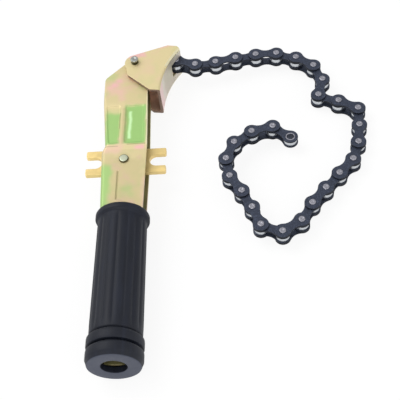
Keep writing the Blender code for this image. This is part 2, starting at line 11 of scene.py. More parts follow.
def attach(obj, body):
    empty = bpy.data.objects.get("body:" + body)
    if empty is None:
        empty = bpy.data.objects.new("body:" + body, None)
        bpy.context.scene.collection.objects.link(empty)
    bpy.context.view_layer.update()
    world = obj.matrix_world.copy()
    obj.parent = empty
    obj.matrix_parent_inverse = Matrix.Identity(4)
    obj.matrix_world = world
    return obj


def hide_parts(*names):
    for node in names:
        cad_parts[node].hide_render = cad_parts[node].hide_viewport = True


bl_info = {
    "name": "Chain Oil Filter Wrench",
    "version": (1, 0, 0),
    "blender": (4, 5, 0),
    "location": "View3D > Sidebar > Wrench",
    "description": "Models and finishes a chain oil filter wrench on its packed frame",
    "category": "Object",
}

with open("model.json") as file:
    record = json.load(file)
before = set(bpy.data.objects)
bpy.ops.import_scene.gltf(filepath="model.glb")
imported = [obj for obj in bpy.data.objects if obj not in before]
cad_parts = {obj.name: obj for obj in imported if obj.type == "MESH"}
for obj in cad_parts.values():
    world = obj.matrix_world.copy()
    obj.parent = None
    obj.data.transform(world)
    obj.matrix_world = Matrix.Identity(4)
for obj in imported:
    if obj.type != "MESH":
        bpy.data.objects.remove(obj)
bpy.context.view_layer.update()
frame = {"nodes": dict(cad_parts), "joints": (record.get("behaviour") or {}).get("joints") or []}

MM = 0.001

# Points closer than this are taken as one
CLOSE = 0.02 * MM

# Directions whose dot product is under this are taken as square to each other
SQUARE_ON = 0.1


def srgb(code):
    """Linear colour of an sRGB hex code."""
    values = [int(code[i:i + 2], 16) / 255 for i in (1, 3, 5)]
    return tuple(v / 12.92 if v <= 0.04045 else ((v + 0.055) / 1.055) ** 2.4 for v in values)


# Places read from the frame
JOINTS = {joint["name"]: joint for joint in frame["joints"]}
LINKS = [joint for joint in frame["joints"] if joint["child"].startswith("chain_link")]
PIVOT = Vector(JOINTS["jaw_pivot"]["pos_m"])
AXIS = Vector(JOINTS["jaw_pivot"]["axis"]).normalized()
PITCH = (Vector(LINKS[1]["pos_m"]) - PIVOT).length

# The angles of the first link in the wrench, of the last link on its pin and of the handle
FIRST_HEADING = math.radians(8)
LAST_BEND = math.radians(-52)
HANDLE_TURN = math.radians(7.5)


def standing(origin, ahead):
    """The place of a flat part whose X points ahead and whose Z is the pivots' axis."""
    x = (ahead - AXIS * ahead.dot(AXIS)).normalized()
    y = AXIS.cross(x)
    return Matrix.Translation(origin) @ Matrix((x, y, AXIS)).transposed().to_4x4()


FIRST_LINK = standing(PIVOT, Vector(LINKS[1]["pos_m"]) - PIVOT)
WRENCH = FIRST_LINK @ Matrix.Rotation(-FIRST_HEADING, 4, "Z")
HANDLE = WRENCH @ Matrix.Rotation(-HANDLE_TURN, 4, "Z")


def at(x, y):
    """A point of a flat outline, given in millimetres."""
    return Vector((x, y)) * MM


# Outline of the handle, up the right edge and down the left, in its own frame
AXIS_X = -3.7 * MM
HANDLE_HALF = 8.0 * MM
TANG_HALF = 7.7 * MM
SHOULDER_Y = -107.6 * MM
TANG_END_Y = -195.5 * MM
RIGHT_EDGE = (at(8.4, -107.6), at(9.2, -64), at(8.2, -20))
LEFT_EDGE = (at(-18.2, -30), at(-15.6, -62), at(-17.3, -66.5), at(-15.7, -107.6))
HEAD_CORNER = at(-18.2, -10.1)
CROWN_SLOPE = math.radians(43)
WEB_TOP_Y = -14.0 * MM
LUG_RADIUS = 5.8 * MM
PANELS = (
    (at(-16.5, -32), at(-13.9, -61), at(-7.3, -61), at(-7.3, -32)),
    (at(-4.7, -32), at(-4.7, -61), at(7.5, -61), at(6.5, -32)),
)
PANEL_CORNER = 1.6 * MM
CREASE = (at(-7.4, -81), at(-7.4, -101.5), at(-6.2, -101.5), at(-6.2, -81))
CREASE_CORNER = 0.5 * MM
CREASE_DEPTH = 0.4 * MM
WEB_SLOT = (at(-30, -78.55), at(-9, -78.55), at(-9, -60.85), at(-30, -60.85))
WEB_SLOT_HALF = 1.7 * MM

# What is fixed to the handle, in its frame
HOOK_RIVET = Vector((AXIS_X, -73 * MM))
HOOK_CENTRE = Vector((AXIS_X, -69.7 * MM))
GRIP_RIM_Y = -107.8 * MM
PIVOT_HOLE = 2.05 * MM
HOOK_HOLE = 2.25 * MM

# Outline of the jaw, in the wrench's frame
JAW_HALF = 10.8 * MM
JAW_CROWN = at(21.5, 10.3)
JAW_TIP = at(27.2, 8.4)
JAW_TIP_RADIUS = 1.6 * MM
JAW_LIP = at(6.7, -24.0)
JAW_HEEL = at(-5.4, -9.4)
JAW_LUG_RADIUS = 6.3 * MM
FACE_TOP = at(28.6, 5.6)
FACE_RADIUS = 56.0 * MM
FACE_START = math.radians(135.0)
FACE_CENTRE = FACE_TOP - FACE_RADIUS * Vector((math.cos(FACE_START), math.sin(FACE_START)))
FACE_END = FACE_START + 35.7 * MM / FACE_RADIUS
SLOT_ROOT = FACE_START + 10.4 * MM / FACE_RADIUS
SLOT_HALF = 4.9 * MM
# Lowest point of the fold's painted highlight
FOLD_HIGHLIGHT_LOW_Y = -7 * MM

# The camera, in the wrench's frame
CAMERA_TARGET = Vector((26.3, -106.5, 4.45)) * MM
CAMERA_DISTANCE = 537 * MM
CAMERA_ELEVATION = math.radians(54)
CAMERA_ROLL = math.radians(-9)
FOCAL_PIXELS = 966
IMAGE_PIXELS = 400
SENSOR = 36

# How much of the floor's white is its own, so that the rest takes a faint shadow
FLOOR_GLOW = 0.88


def length(name, description, default_mm):
    """A length property, shown in the scene's units."""
    return bpy.props.FloatProperty(
        name=name, description=description, default=default_mm * MM, min=0,
        subtype="DISTANCE", unit="LENGTH",
    )


def paint(name, description, code):
    """A colour property from an sRGB hex code."""
    return bpy.props.FloatVectorProperty(
        name=name, description=description, default=srgb(code), min=0, max=1, subtype="COLOR"
    )


def power(name, description, default):
    """A property for a light's strength."""
    return bpy.props.FloatProperty(name=name, description=description, default=default, min=0)


class WRENCH_PG_sheet(bpy.types.PropertyGroup):
    """Sizes and colours of the folded steel sheet."""

    thickness: length("Thickness", "Thickness of the folded sheet", 1.8)
    fold: length("Fold", "Outside radius of the handle's folds", 2.2)
    jaw_fold: length("Jaw fold", "Outside radius of the jaw's folds", 1.3)
    edge: length("Edge", "Rounding of the sheared edges", 0.22)
    panel_depth: length("Panel depth", "How deep the panels are pressed", 0.6)
    panel_slope: length("Panel slope", "Width of the sloped wall round a panel", 0.8)
    straw: paint("Straw", "Main colour of the chromate film", "#DFCF9E")
    lime: paint("Lime", "Green colour of the film", "#9DC777")
    rose: paint("Rose", "Pink colour of the film", "#F2B6BE")
    # The pale colour is a painted reflection: the streak of light down the handle's right panel
    pale: paint("Pale", "Colour of the thinnest film", "#CFF5B8")
    grey: paint("Grey", "Colour of the film on the curved face", "#D8CEC3")
    # Olive also paints shade on the handle's outside: the lower cheek, lines along the panels and the
    # crease, and the tang's end
    olive: paint("Olive", "Colour of the film inside the handle", "#8A8458")
    copper: paint("Copper", "Colour of the film inside the jaw", "#F8CDB4")
    # This bright colour is a painted highlight, on the jaw's fold and along the handle's right edge
    edge_highlight: paint("Worn", "Colour of the jaw's folds, rubbed bright", "#F2E9C4")


class WRENCH_PG_hooks(bpy.types.PropertyGroup):
    """Sizes and colours of the hook plate."""

    thickness: length("Thickness", "Thickness of the hook plate", 3.0)
    reach: length("Length", "Length of the plate from prong to prong", 47.0)
    prong: length("Prong", "Width of one prong", 4.6)
    notch: length("Notch", "Depth of the notch between two prongs", 9.6)
    edge: length("Edge", "Rounding of the plate's edges", 0.3)
    gold: paint("Gold", "Colour of the plate's chromate film", "#E3C987")


class WRENCH_PG_fixings(bpy.types.PropertyGroup):
    """Colours of the rivets, spacers, washers and bush."""

    cut: paint("Cut", "Colour of the pivot rivet, the spacers, the washers and the bush", "#A6AAA6")
    plated: paint("Plated", "Colour of the hook rivet's heads", "#C4CAB2")
    # The dark rivet colour is painted shade, for the pivot rivet's neck and the hook rivet's rim
    oiled: paint("Oiled", "Colour of the rivets where they are oiled and dark", "#5A553C")


class WRENCH_PG_grip(bpy.types.PropertyGroup):
    """Sizes and colours of the rubber grip."""

    sleeve: length("Length", "Length of the grip", 92.2)
    collar: length("Collar", "Radius of the collar and the rings", 15.2)
    upper: length("Upper radius", "Radius of the body under the collar", 13.6)
    lower: length("Lower radius", "Radius of the body above the rings", 14.1)
    flute: length("Flute", "Depth of the grooves between the flutes", 0.45)
    flutes: bpy.props.IntProperty(name="Flutes", description="Number of flutes", default=16, min=4)
    rubber: paint("Rubber", "Colour of the rubber", "#131722")
    end_face: paint("End face", "Colour of the end face", "#414552")


class WRENCH_PG_chain(bpy.types.PropertyGroup):
    """Sizes and colours of the roller chain."""

    plate: length("Plate", "Thickness of a link plate", 0.95)
    eye: length("Eye", "Radius of a plate's round ends", 4.48)
    waist: length("Waist", "Half the height of a plate's waist", 2.5)
    roller: length("Roller", "Radius of a roller", 3.87)
    bush: length("Bush", "Outside radius of a bush", 2.75)
    bore: length("Bore", "Radius of a bush's bore", 2.1)
    pin: length("Pin", "Radius of a pin", 1.8)
    pin_length: length("Pin length", "Length of a pin", 8.9)
    black: paint("Black", "Colour of the blackened plates", "#363C4B")
    steel: paint("Steel", "Colour of the pins", "#AEAEB8")
    bright: paint("Bright", "Colour of the rollers", "#C6CACE")


class WRENCH_PG_stage(bpy.types.PropertyGroup):
    """Floor and light."""

    floor: length("Floor", "Width of the floor", 4000)
    white: paint("White", "Colour of the floor", "#FFFFFF")
    key: power("Key", "Power of the main lamp", 4.7)
    fill: power("Fill", "Power of the fill lamp", 2.0)
    low: power("Low", "Power of the front lamp", 1.9)
    sky: power("Sky", "Strength of the surroundings", 0.7)


def arc(centre, radius, start, end, steps):
    """Points along an arc, both ends included."""
    angles = (start + (end - start) * step / steps for step in range(steps + 1))
    return [Vector(centre) + radius * Vector((math.cos(a), math.sin(a))) for a in angles]


def rounded(corners, steps=6):
    """An outline from (point, radius) pairs, with each corner rounded by its radius."""
    outline = []
    for index, (corner, radius) in enumerate(corners):
        if not radius:
            outline.append(corner.copy())
            continue
        back = (corners[index - 1][0] - corner).normalized()
        ahead = (corners[(index + 1) % len(corners)][0] - corner).normalized()
        half = back.angle(ahead) / 2
        centre = corner + (back + ahead).normalized() * radius / math.sin(half)
        first = corner + back * radius / math.tan(half) - centre
        last = corner + ahead * radius / math.tan(half) - centre
        sweep = -first.angle_signed(last)
        for step in range(steps + 1):
            outline.append(centre + Matrix.Rotation(sweep * step / steps, 2) @ first)
    return outline


def start():
    """Leaves edit mode, set back to vertices, and deselects everything."""
    if bpy.context.mode != "OBJECT":
        bpy.ops.mesh.select_mode(type="VERT")
        bpy.ops.object.mode_set(mode="OBJECT")
    bpy.ops.object.select_all(action="DESELECT")


def pick(*objects):
    """Selects only these objects, the first one active."""
    start()
    for obj in objects:
        obj.select_set(True)
    bpy.context.view_layer.objects.active = objects[0]


def edit(piece):
    """Opens a piece in edit mode."""
    pick(piece)
    bpy.ops.object.mode_set(mode="EDIT")


def select_where(piece, kind, picked):
    """Selects those of a piece's VERTs, EDGEs or FACEs that picked() chooses, in edit mode."""
    bpy.ops.mesh.select_mode(type=kind)
    bpy.ops.mesh.select_all(action="DESELECT")
    mesh = bmesh.from_edit_mesh(piece.data)
    for element in getattr(mesh, kind.lower() + "s"):
        element.select_set(picked(element))
    bmesh.update_edit_mesh(piece.data)


def chain_of_points(name, points):
    """A new mesh that is a string of edges through the points, left in edit mode."""
    start()
    bpy.ops.mesh.primitive_plane_add(size=MM)
    piece = bpy.context.active_object
    piece.name = name
    bpy.ops.object.mode_set(mode="EDIT")
    bpy.ops.mesh.merge(type="CENTER")
    bpy.ops.transform.translate(value=points[0])
    for before, after in zip(points, points[1:]):
        bpy.ops.mesh.extrude_region_move(TRANSFORM_OT_translate={"value": after - before})
    bpy.ops.mesh.select_all(action="SELECT")
    return piece


def plate(name, outline, low, high):
    """A flat plate, traced round its outline, filled and extruded upwards."""
    piece = chain_of_points(name, [Vector((p.x, p.y, low)) for p in outline])
    bpy.ops.mesh.edge_face_add()
    bpy.ops.mesh.extrude_region_move(TRANSFORM_OT_translate={"value": (0, 0, high - low)})
    bpy.ops.mesh.select_all(action="SELECT")
    bpy.ops.mesh.normals_make_consistent(inside=False)
    start()
    return piece


def turned(name, profile, steps, closed=True):
    """A piece turned about Z from (radius, height) points, as a ring or open at the axis."""
    piece = chain_of_points(name, [Vector((radius, 0, height)) for radius, height in profile])
    if closed:
        bpy.ops.mesh.edge_face_add()
        bpy.ops.mesh.delete(type="ONLY_FACE")
    bpy.ops.mesh.select_all(action="SELECT")
    bpy.ops.mesh.spin(steps=steps, angle=2 * math.pi, center=(0, 0, 0), axis=(0, 0, 1))
    bpy.ops.mesh.select_all(action="SELECT")
    bpy.ops.mesh.remove_doubles(threshold=CLOSE / 10)
    bpy.ops.mesh.normals_make_consistent(inside=False)
    start()
    return piece


def bar(name, side, steps):
    """A solid bar turned from half its outline in millimetres, alike at both ends."""
    lower = [(radius * MM, -height * MM) for radius, height in reversed(side)]
    upper = [(radius * MM, height * MM) for radius, height in side]
    piece = turned(name, lower + upper, steps, closed=False)
    smooth(piece)
    return piece


def round_edges(piece, picked, offset, segments):
    """Bevels the level edges whose two ends picked() chooses."""
    def chosen(edge):
        first, last = (vert.co for vert in edge.verts)
        return abs(first.z - last.z) < CLOSE and picked(first) and picked(last)

    edit(piece)
    select_where(piece, "EDGE", chosen)
    bpy.ops.mesh.bevel(offset=offset, segments=segments, affect="EDGES")
    start()


def cut(piece, *tools):
    """Cuts the tools out of a piece."""
    pick(piece)
    for tool in tools:
        modifier = piece.modifiers.new(tool.name, "BOOLEAN")
        modifier.operation = "DIFFERENCE"
        modifier.solver = "EXACT"
        modifier.material_mode = "TRANSFER"
        modifier.object = tool
        bpy.ops.object.modifier_apply(modifier=modifier.name)
        bpy.data.objects.remove(tool)
    return piece


def ease(piece, width, sharpest=30):
    """Merges stray points, then rounds every sharp edge by the width."""
    edit(piece)
    bpy.ops.mesh.select_all(action="SELECT")
    bpy.ops.mesh.remove_doubles(threshold=CLOSE)
    bpy.ops.mesh.dissolve_limited(angle_limit=math.radians(0.5), delimit={"MATERIAL"})
    start()
    pick(piece)
    bevel = piece.modifiers.new("edges", "BEVEL")
    bevel.width = width
    bevel.segments = 2
    bevel.limit_method = "ANGLE"
    bevel.angle_limit = math.radians(sharpest)
    bevel.use_clamp_overlap = False
    bpy.ops.object.modifier_apply(modifier=bevel.name)
    smooth(piece)
    flat = piece.modifiers.new("flat", "WEIGHTED_NORMAL")
    flat.keep_sharp = True
    bpy.ops.object.modifier_apply(modifier=flat.name)
    return piece


def smooth(piece, sharpest=35):
    """Shades the curves smooth and keeps the sharp edges."""
    pick(piece)
    bpy.ops.object.shade_smooth_by_angle(angle=math.radians(sharpest))


def coat(piece, material):
    """Gives a piece one material."""
    piece.data.materials.clear()
    piece.data.materials.append(material)
    return piece


def paint_faces(piece, material, picked):
    """Gives the faces that picked() chooses another material."""
    piece.data.materials.append(material)
    last = len(piece.data.materials) - 1
    for face in piece.data.polygons:
        if picked(face):
            face.material_index = last
    return piece


def copied(piece):
    """A copy of a piece with a mesh of its own."""
    copy = piece.copy()
    copy.data = piece.data.copy()
    bpy.context.collection.objects.link(copy)
    return copy


def moved(piece, matrix):
    """A piece moved and turned, with its place in its mesh."""
    pick(piece)
    piece.matrix_world = matrix
    bpy.ops.object.transform_apply(location=True, rotation=True, scale=True)
    return piece


def place(piece, matrix, body, nodes):
    """Puts a finished piece where it belongs."""
    moved(piece, matrix)
    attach(piece, body)
    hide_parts(*nodes)
    return piece


def cylinder(name, radius, low, high, centre=(0, 0)):
    """A round bar along Z."""
    start()
    bpy.ops.mesh.primitive_cylinder_add(
        vertices=32, radius=radius, depth=high - low, location=(*centre, (low + high) / 2)
    )
    piece = bpy.context.active_object
    piece.name = name
    bpy.ops.object.transform_apply(location=True, rotation=True, scale=True)
    return piece


def connect(tree, node, inputs):
    """Links each input to another node's output or gives it a value, and returns the node's outputs."""
    for name, value in inputs.items():
        socket = node.inputs[name]
        if isinstance(value, bpy.types.NodeSocket):
            tree.links.new(value, socket)
        else:
            socket.default_value = (*value, 1) if socket.type == "RGBA" else value
    return node.outputs


def add_node(tree, kind, inputs=None, **settings):
    """Adds a shader node with its settings and links, and returns its outputs."""
    node = tree.nodes.new("ShaderNode" + kind)
    for name, value in settings.items():
        setattr(node, name, value)
    return connect(tree, node, inputs or {})


def new_material(name, **values):
    """A Principled material, its node tree and its shader, with the shader's values set."""
    material = bpy.data.materials.new(name)
    material.use_nodes = True
    tree = material.node_tree
    shader = tree.nodes["Principled BSDF"]
    connect(tree, shader, {socket.replace("_", " "): value for socket, value in values.items()})
    return material, tree, shader


def scaled(colour, share):
    """A paler or a darker colour of the same hue."""
    return tuple(min(1, share * value) for value in colour)


def object_point(tree, matrix=None):
    """Object coordinates, turned into the frame of a part."""
    point = add_node(tree, "TexCoord")["Object"]
    if matrix is None:
        return point
    back = matrix.inverted()
    return add_node(
        tree, "Mapping", {"Vector": point, "Location": back.translation, "Rotation": back.to_euler()}
    )["Vector"]


def tint(tree, colour, other, *steps, strength=1):
    """Another colour over the first, wherever each step's value has gone from its low to its high."""
    share = strength
    for value, low, high in steps:
        share = add_node(
            tree, "MapRange", {"Value": value, "From Min": low, "From Max": high, "To Max": share},
            interpolation_type="SMOOTHSTEP",
        )["Result"]
    return add_node(tree, "Mix", {0: share, 6: colour, 7: other}, data_type="RGBA")[2]


def film(name, sheet, matrix, patches, base="straw", cloudy=0.4):
    """Zinc plated sheet steel in a yellow chromate dip, with cloudy rainbow colours."""
    # A thin film over bright zinc: half mirror, half pale stain. The colour follows the film's
    # thickness, so it changes where the sheet is pressed, folded or rubbed. Some patches paint shade
    # and highlights instead
    material, tree, shader = new_material(name, Metallic=0.4, Roughness=0.42)
    point = object_point(tree, matrix)
    clouds = add_node(tree, "TexNoise", {"Vector": point, "Scale": 1 / (14 * MM)})["Fac"]
    aside = add_node(tree, "VectorMath", {0: point, 1: Vector((70, 30, 0)) * MM})["Vector"]
    warmer = add_node(tree, "TexNoise", {"Vector": aside, "Scale": 1 / (11 * MM)})["Fac"]
    colour = tint(tree, getattr(sheet, base), sheet.lime, (clouds, 0.5, 0.75), strength=cloudy)
    colour = tint(tree, colour, sheet.rose, (warmer, 0.5, 0.75), strength=cloudy)
    # Each patch's edge wanders with the noise, and the softer it is the further
    spots = add_node(tree, "TexNoise", {"Vector": point, "Scale": 1 / (8 * MM)})["Color"]
    wander = add_node(
        tree, "VectorMath", {0: spots, 1: (0.5, 0.5, 0.5)}, operation="SUBTRACT"
    )["Vector"]
    for shade, x_range, y_range, soft, strength in patches:
        reach = 3 * (soft - HARDEST_EDGE) * MM
        loose = add_node(
            tree, "VectorMath", {0: wander, 1: (reach, reach, reach), 2: point},
            operation="MULTIPLY_ADD",
        )["Vector"]
        spot = add_node(tree, "SeparateXYZ", {"Vector": loose})
        steps = []
        for value, (low, high) in ((spot["X"], x_range), (spot["Y"], y_range)):
            steps.append((value, (low - soft) * MM, (low + soft) * MM))
            steps.append((value, (high + soft) * MM, (high - soft) * MM))
        colour = tint(tree, colour, getattr(sheet, shade), *steps, strength=strength)
    # Fine grain of the rolled sheet under the plating
    grain = add_node(tree, "TexNoise", {"Vector": point, "Scale": 1 / (0.5 * MM)})["Fac"]
    bump = add_node(tree, "Bump", {"Height": grain, "Strength": 0.1, "Distance": 0.04 * MM})
    connect(tree, shader, {"Base Color": colour, "Normal": bump["Normal"]})
    return material


def inside_film(name, colour, lip_shade=1.0):
    """The same plating between the folds, darker towards the jaw's lip as painted shade."""
    # Dull and blotched where the dip drained slowly
    material, tree, shader = new_material(name, Metallic=0.1, Roughness=0.45)
    point = object_point(tree)
    stains = add_node(tree, "TexNoise", {"Vector": point, "Scale": 1 / (5 * MM), "Detail": 3})["Fac"]
    mixed = tint(tree, scaled(colour, 0.8), colour, (stains, 0.35, 0.65))
    # Painted shade: darker towards the jaw's lip
    if lip_shade < 1:
        along = add_node(tree, "SeparateXYZ", {"Vector": object_point(tree, WRENCH)})["Y"]
        mixed = tint(tree, mixed, scaled(colour, lip_shade), (along, -12 * MM, -21 * MM))
    connect(tree, shader, {"Base Color": mixed})
    return material


def fold_highlight(sheet):
    """The fold beside the curved face, painted bright as a highlight."""
    # The bright colour is a painted highlight, with traces of film; the finish is smoother and more
    # mirror-like than the flat sheet
    material, tree, shader = new_material("rubbed zinc fold", Metallic=0.7, Roughness=0.25)
    point = object_point(tree)
    traces = add_node(tree, "TexNoise", {"Vector": point, "Scale": 1 / (2 * MM), "Detail": 3})["Fac"]
    connect(tree, shader, {"Base Color": tint(tree, sheet.edge_highlight, sheet.straw, (traces, 0.5, 0.75))})
    return material


# Softness in mm at which a patch's edge runs straight
HARDEST_EDGE = 0.3

# Film colours in the handle's frame, with painted shade and painted highlights among them: property, X
# range, Y range and softness in mm, strength
HANDLE_PATCHES = (
    ("olive", (-24.0, 20.0), (-120.0, 20.0), 2.0, 0.12),
    # Painted shade: the lower cheek darker
    ("olive", (-16.0, 9.0), (-110.0, -72.0), 4.0, 0.18),
    ("lime", (-19.0, -11.0), (-12.0, -6.0), 2.0, 0.35),
    ("rose", (-17.0, -8.0), (-23.0, -13.0), 3.0, 0.4),
    ("rose", (-16.5, -13.0), (-18.0, -15.5), 1.8, 0.4),
    ("rose", (-13.5, -9.5), (-16.0, -13.0), 1.8, 0.7),
    ("rose", (-10.5, -6.5), (-13.5, -10.5), 1.8, 0.7),
    ("rose", (-9.5, -5.5), (-30.0, -19.0), 2.2, 0.35),
    ("lime", (-16.0, -7.4), (-62.0, -34.0), 1.4, 0.95),
    ("lime", (-4.6, 8.2), (-62.0, -32.5), 1.4, 1.0),
    ("straw", (-7.0, -5.0), (-62.0, -30.0), 0.6, 0.55),
    ("straw", (-16.0, 10.0), (-66.0, -61.9), 0.6, 0.85),
    ("straw", (-18.0, -6.6), (-37.5, -30.0), 2.5, 0.8),
    ("olive", (-4.4, -2.8), (-60.0, -35.0), 0.6, 0.22),
    # Painted reflection: a pale streak down the right panel
    ("pale", (-2.3, -0.6), (-57.5, -36.5), 0.8, 0.95),
    # Painted highlight: bright lines along the right edge
    ("edge_highlight", (7.8, 9.8), (-44.0, -18.0), 0.25, 0.7),
    ("edge_highlight", (8.4, 9.8), (-63.0, -44.0), 0.25, 0.7),
    # Painted shade: dark lines along the panels' edges
    ("olive", (-6.0, -4.6), (-62.0, -34.0), 0.7, 0.25),
    ("olive", (-7.8, -7.2), (-50.0, -38.0), 0.3, 0.6),
    ("olive", (-16.0, -7.6), (-63.6, -63.0), 0.3, 0.6),
    ("olive", (-2.6, 8.5), (-62.4, -61.8), 0.3, 0.6),
    ("rose", (2.0, 7.5), (-65.5, -62.8), 1.4, 0.8),
    ("rose", (-15.5, -5.0), (-69.0, -63.0), 2.4, 0.35),
    ("lime", (-19.0, -11.0), (-116.0, -77.0), 2.2, 0.85),
    ("lime", (-3.0, 3.0), (-100.0, -90.0), 3.0, 0.35),
    ("rose", (8.0, 11.0), (-114.0, -86.0), 2.0, 0.4),
    # Painted shade: a dark line along the crease
    ("olive", (-7.3, -6.3), (-101.0, -81.5), 0.3, 0.5),
    ("rose", (-8.5, 2.0), (-108.2, -106.4), 0.6, 0.8),
    # Painted shade: the tang's end, seen in the grip's hole, made dark
    ("olive", (-20.0, 12.0), (-200.0, -185.0), 2.0, 0.8),
)

# The same in the wrench's frame, for the jaw's cheeks and for its curved face
JAW_PATCHES = (
    ("rose", (-4.5, 7.0), (4.0, 8.5), 1.6, 0.7),
    ("rose", (12.0, 26.0), (9.0, 12.0), 1.4, 0.5),
    ("rose", (4.0, 12.0), (-12.0, -4.0), 2.4, 0.15),
)
FACE_PATCHES = (
    ("olive", (14.0, 24.0), (-14.0, 1.0), 2.0, 0.3),
    ("rose", (10.0, 16.0), (-27.0, -18.0), 1.8, 0.4),
)


def handle_outline():
    """The cheek's outline, from the tang's end up the right edge and down the left."""
    crown_angle = math.pi / 2 + CROWN_SLOPE
    crown = LUG_RADIUS * Vector((math.cos(crown_angle), math.sin(crown_angle)))
    corner = rounded([(crown, 0), (HEAD_CORNER, 4 * MM), (LEFT_EDGE[0], 0)])
    right = AXIS_X + TANG_HALF
    left = AXIS_X - TANG_HALF
    return [Vector(point) for point in (
        (right, TANG_END_Y), (right, SHOULDER_Y), *RIGHT_EDGE,
        *arc((0, 0), LUG_RADIUS, math.radians(-6), crown_angle, 24),
        *corner[1:-1], *LEFT_EDGE, (left, SHOULDER_Y), (left, TANG_END_Y),
    )]


def handle_inside(thickness):
    """The space between the cheeks, open to the right and over the crown."""
    clear = 3 * JAW_HALF
    edge = [point + Vector((thickness, 0)) for point in LEFT_EDGE]
    edge[-1].y += thickness
    tang = AXIS_X - TANG_HALF + thickness
    far = TANG_END_Y - clear
    return [Vector(point) for point in (
        (tang, far), (clear, far), (clear, clear), (-clear, clear), (-clear, WEB_TOP_Y),
        (edge[0].x, WEB_TOP_Y), *edge, (tang, SHOULDER_Y + thickness),
    )]


def panel_tool(name, outline, side, depth, slope):
    """A cutter for a pressed panel, with sloped walls."""
    surface = side * HANDLE_HALF
    outside = side * (HANDLE_HALF + MM)
    tool = plate(name, outline, min(surface, outside), max(surface, outside))
    edit(tool)
    select_where(tool, "FACE", lambda face: all(
        abs(vert.co.z - surface) < CLOSE for vert in face.verts))
    bpy.ops.mesh.inset(thickness=slope, depth=depth)
    start()
    return tool


class WRENCH_OT_handle(bpy.types.Operator):
    """Models the folded handle with its pressed panels"""

    bl_idname = "wrench.handle"
    bl_label = "Handle"

    def execute(self, context):
        sheet = context.scene.wrench_sheet
        outside = film("chromated sheet steel", sheet, HANDLE, HANDLE_PATCHES)
        inside = inside_film("drained chromate, handle", sheet.olive)
        handle = coat(plate("handle_sheet", handle_outline(), -HANDLE_HALF, HANDLE_HALF), outside)
        fold_right = LEFT_EDGE[1].x + CLOSE
        tang_left = AXIS_X - TANG_HALF + CLOSE

        def on_fold(point):
            on_web = point.x < fold_right and SHOULDER_Y - CLOSE < point.y < WEB_TOP_Y
            return on_web or (point.x < tang_left and point.y < SHOULDER_Y - CLOSE)

        round_edges(handle, on_fold, sheet.fold, 6)
        inside_half = HANDLE_HALF - sheet.thickness
        hollow = plate("inside", handle_inside(sheet.thickness), -inside_half, inside_half)
        tools = []
        for side in (1, -1):
            for panel in PANELS:
                outline = rounded([(point, PANEL_CORNER) for point in panel])
                tools.append(panel_tool("panel", outline, side, sheet.panel_depth, sheet.panel_slope))
            crease = rounded([(point, CREASE_CORNER) for point in CREASE])
            tools.append(panel_tool("crease", crease, side, CREASE_DEPTH, CREASE_DEPTH))
        tools.append(plate("web_slot", WEB_SLOT, -WEB_SLOT_HALF, WEB_SLOT_HALF))
        for radius, centre in ((PIVOT_HOLE, (0, 0)), (HOOK_HOLE, HOOK_RIVET)):
            tools.append(cylinder("hole", radius, -JAW_HALF, JAW_HALF, centre))
        cut(handle, coat(hollow, inside), *[coat(tool, outside) for tool in tools])
        ease(handle, sheet.edge)
        place(handle, HANDLE, "handle", ["handle_channel"])
        return {"FINISHED"}


def jaw_outline():
    """The cheek's outline: round the pivot, over the crown and down the curved face."""
    tip = rounded([(JAW_CROWN, 0), (JAW_TIP, JAW_TIP_RADIUS), (FACE_TOP, 0)])
    lug = arc((0, 0), JAW_LUG_RADIUS, math.radians(200), math.radians(97), 16)
    face = arc(FACE_CENTRE, FACE_RADIUS, FACE_START, FACE_END, 30)
    return [*lug, *tip[:-1], *face, JAW_LIP, JAW_HEEL]


def jaw_inside(thickness):
    """The space between the cheeks, open on every side but the curved face."""
    clear = 2 * FACE_RADIUS
    margin = math.radians(12)
    face = arc(FACE_CENTRE, FACE_RADIUS + thickness, FACE_START - margin, FACE_END + margin, 40)
    return [Vector(point) for point in (
        *face, (face[-1].x, -clear), (-clear, -clear), (-clear, clear), (face[0].x, clear),
    )]


